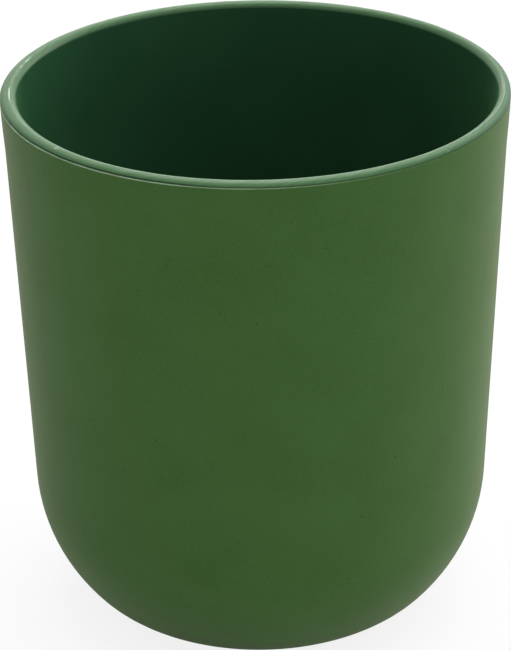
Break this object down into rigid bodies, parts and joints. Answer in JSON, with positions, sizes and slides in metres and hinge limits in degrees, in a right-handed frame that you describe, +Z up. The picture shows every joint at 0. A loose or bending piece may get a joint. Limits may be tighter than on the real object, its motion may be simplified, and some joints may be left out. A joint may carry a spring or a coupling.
{
  "type": "drinking tumbler",
  "caption": "Round plastic drinking tumbler with a slightly tapered wall, a full-round rim and a softly curved bottom on a foot ring, moulded in two bonded layers.",
  "frame": {"origin": "centre of the face that the cup rests on", "axes": "+Z up along the cup's axis from the base to the mouth; +X and +Y lie in the resting face and are interchangeable"},
  "size_m": [0.0804, 0.0804, 0.09],
  "materials": {
    "inner_plastic": "polished deep green, lightly scratched on the rim",
    "outer_plastic": "matte moss green with a fine grain"
  },
  "bodies": {
    "root": {"inner_cup": "inner_plastic", "outer_shell": "outer_plastic"}
  },
  "joints": []
}
